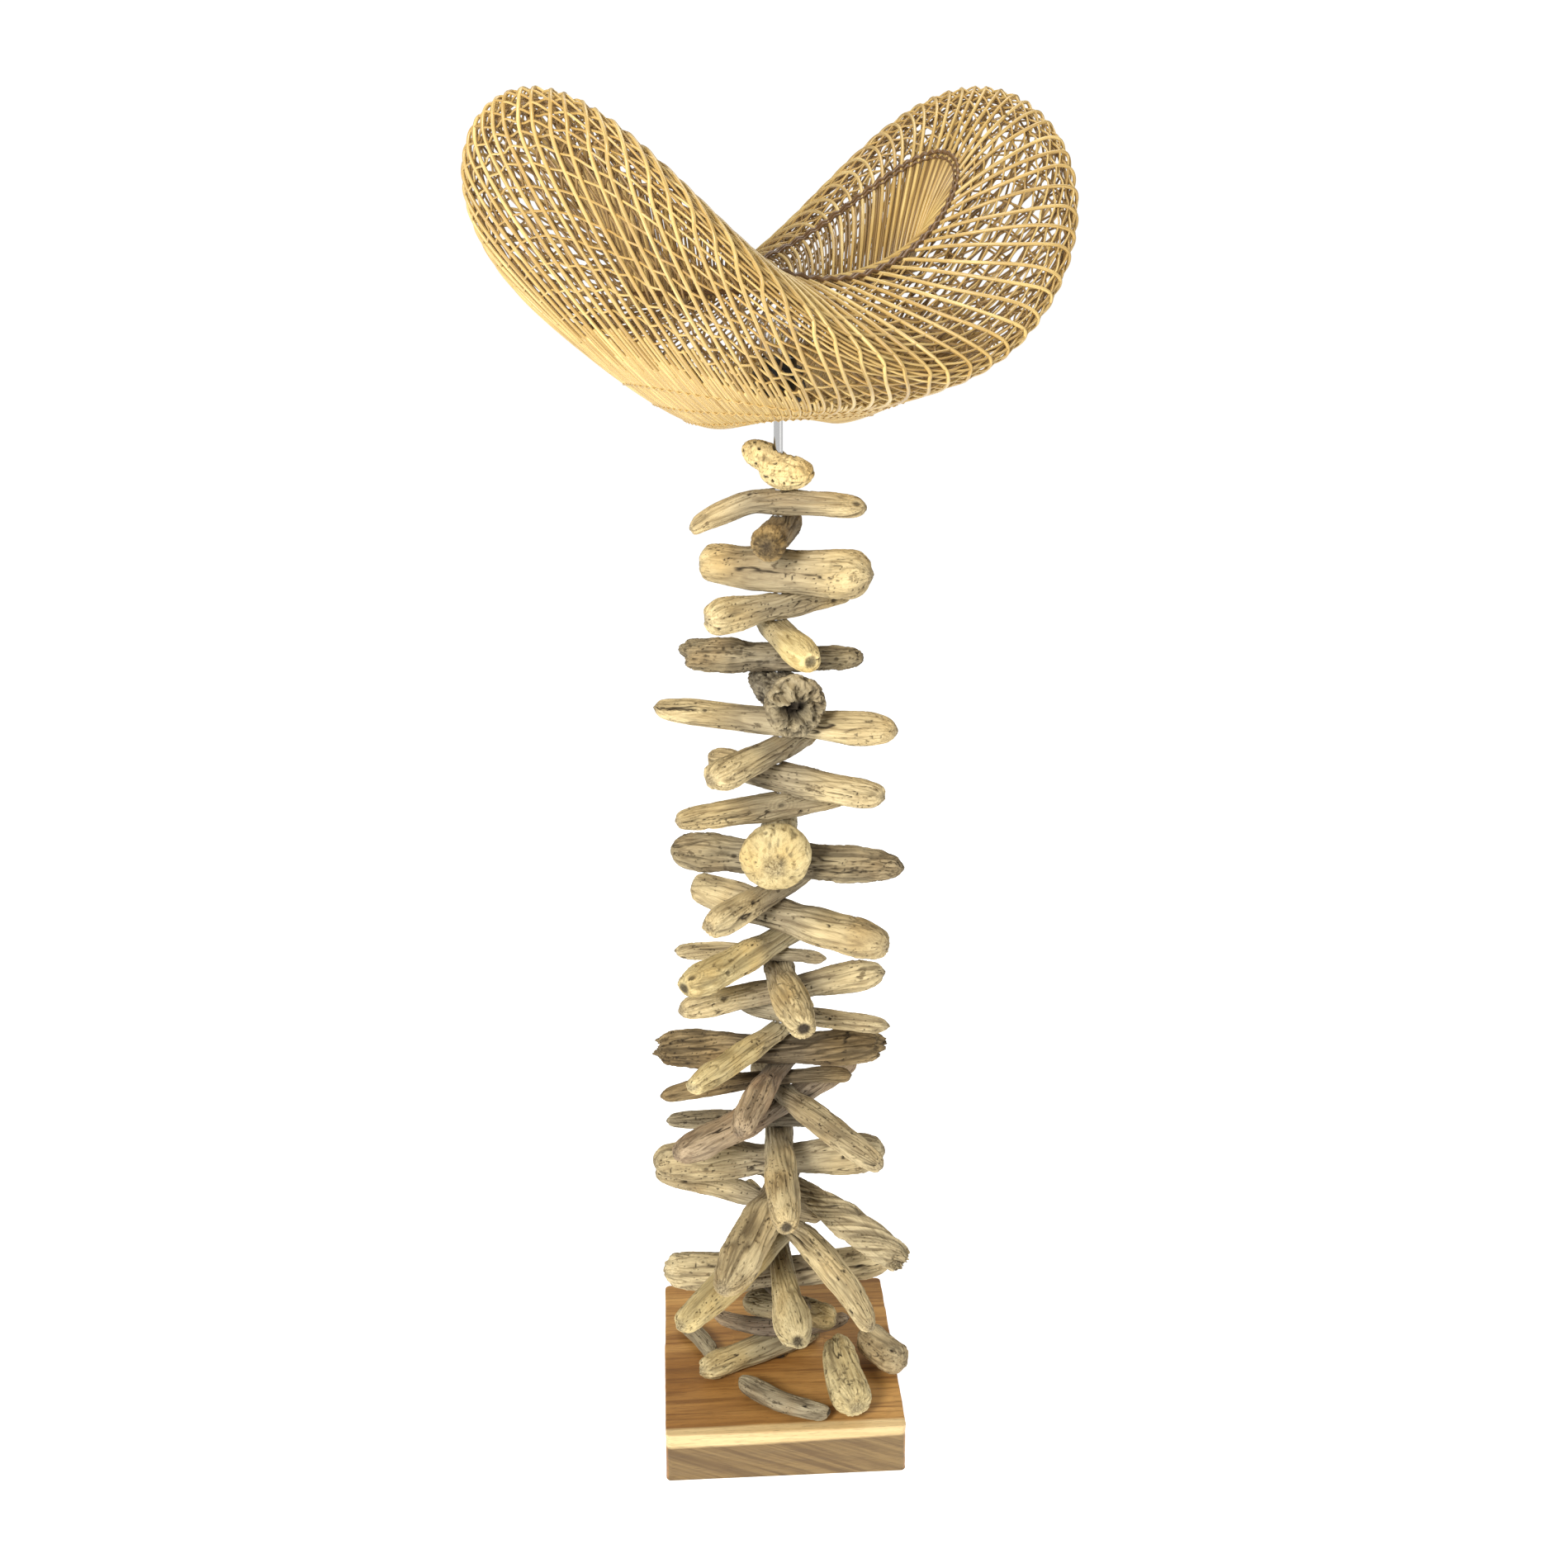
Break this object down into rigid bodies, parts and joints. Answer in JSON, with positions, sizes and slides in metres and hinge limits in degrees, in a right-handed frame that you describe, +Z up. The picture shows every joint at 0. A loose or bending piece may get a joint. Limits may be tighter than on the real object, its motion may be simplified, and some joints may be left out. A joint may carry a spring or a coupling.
{
  "type": "driftwood floor lamp",
  "caption": "Floor lamp of driftwood threaded on a steel tube over a square slab of wood, with a saddle-shaped shade woven from cane.",
  "frame": {"origin": "middle of the slab's underside, on the floor", "axes": "+Z up along the tube, front of the lamp towards -Y, +X to the lamp's right as seen from the front"},
  "size_m": [0.63, 0.6052, 1.6151],
  "materials": {
    "slab_wood": "oiled, satin",
    "driftwood": "weathered, bare",
    "driftwood_pale": "weathered, bare",
    "driftwood_grey": "weathered, bare",
    "driftwood_pink": "weathered, bare",
    "driftwood_dark": "weathered, bare",
    "tube_steel": "polished",
    "plated_steel": "zinc plated",
    "black_plastic": "moulded, satin",
    "porcelain": "glazed",
    "contact_brass": "stamped",
    "bulb_metal": "satin",
    "bulb_glass": "clear",
    "fitter_steel": "black, satin",
    "rattan": "natural cane, satin"
  },
  "bodies": {
    "lamp": {"base_slab": "slab_wood", "stem_tube": "tube_steel", "clamp_nut_low": "plated_steel", "clamp_nut_top": "plated_steel", "clamp_washer": "plated_steel", "inlet_bushing": "black_plastic", "log_sawn_foot": "driftwood_pale", "root_pink_bowed": "driftwood_pink", "block_pale": "driftwood_pale", "root_dark_core": "driftwood_dark", "log_back_cross": "driftwood", "branch_flared": "driftwood_pale", "branch_smooth_left": "driftwood_pale", "branch_bent_right": "driftwood", "branch_long_back": "driftwood", "branch_gnarled_left": "driftwood", "branch_curly_right": "driftwood", "log_low_cross": "driftwood", "branch_front_low": "driftwood", "stub_left_low": "driftwood_grey", "branch_left_low": "driftwood_pink", "branch_right_low": "driftwood", "root_dark_cross": "driftwood_dark", "branch_grey_front": "driftwood_pink", "log_grooved": "driftwood_dark", "branch_pale_left": "driftwood_pale", "twig_right_mid": "driftwood", "log_knotted_cross": "driftwood", "branch_front_mid": "driftwood", "stub_left_mid": "driftwood", "branch_left_mid": "driftwood_pale", "log_broad_cross": "driftwood", "branch_knot_left": "driftwood", "log_dark_cross": "driftwood_grey", "knob_ball_front": "driftwood_pale", "branch_left_high": "driftwood", "branch_right_high": "driftwood", "branch_stub_front": "driftwood", "log_long_cross": "driftwood", "root_burl_front": "driftwood_grey", "log_rough_cross": "driftwood_grey", "branch_sawn_front": "driftwood_pale", "branch_tapered": "driftwood", "log_fat_round": "driftwood", "log_end_front": "driftwood_dark", "root_arched": "driftwood", "knob_cork_top": "driftwood", "foot_arc": "driftwood_grey", "foot_skull": "driftwood_pale", "foot_knob": "driftwood", "foot_grey": "driftwood_grey", "holder_cap": "black_plastic", "holder_shell": "black_plastic", "holder_insert": "porcelain", "holder_contact": "contact_brass"},
    "shade": {"rattan_shade": "rattan", "shade_fitter": "fitter_steel"},
    "ring": {"shade_ring": "black_plastic"},
    "bulb": {"bulb_cap": "bulb_metal", "bulb_glass": "bulb_glass"}
  },
  "joints": [
    {"name": "shade_turn", "type": "hinge", "parent": "lamp", "child": "shade", "pos_m": [0, 0, 1.3285], "axis": [0, 0, 1], "continuous": true},
    {"name": "shade_ring_turn", "type": "hinge", "parent": "lamp", "child": "ring", "pos_m": [0, 0, 1.334], "axis": [0, 0, 1], "range_deg": [0, 350]},
    {"name": "bulb_turn", "type": "hinge", "parent": "lamp", "child": "bulb", "pos_m": [0, 0, 1.334], "axis": [0, 0, 1], "range_deg": [0, 350]}
  ]
}
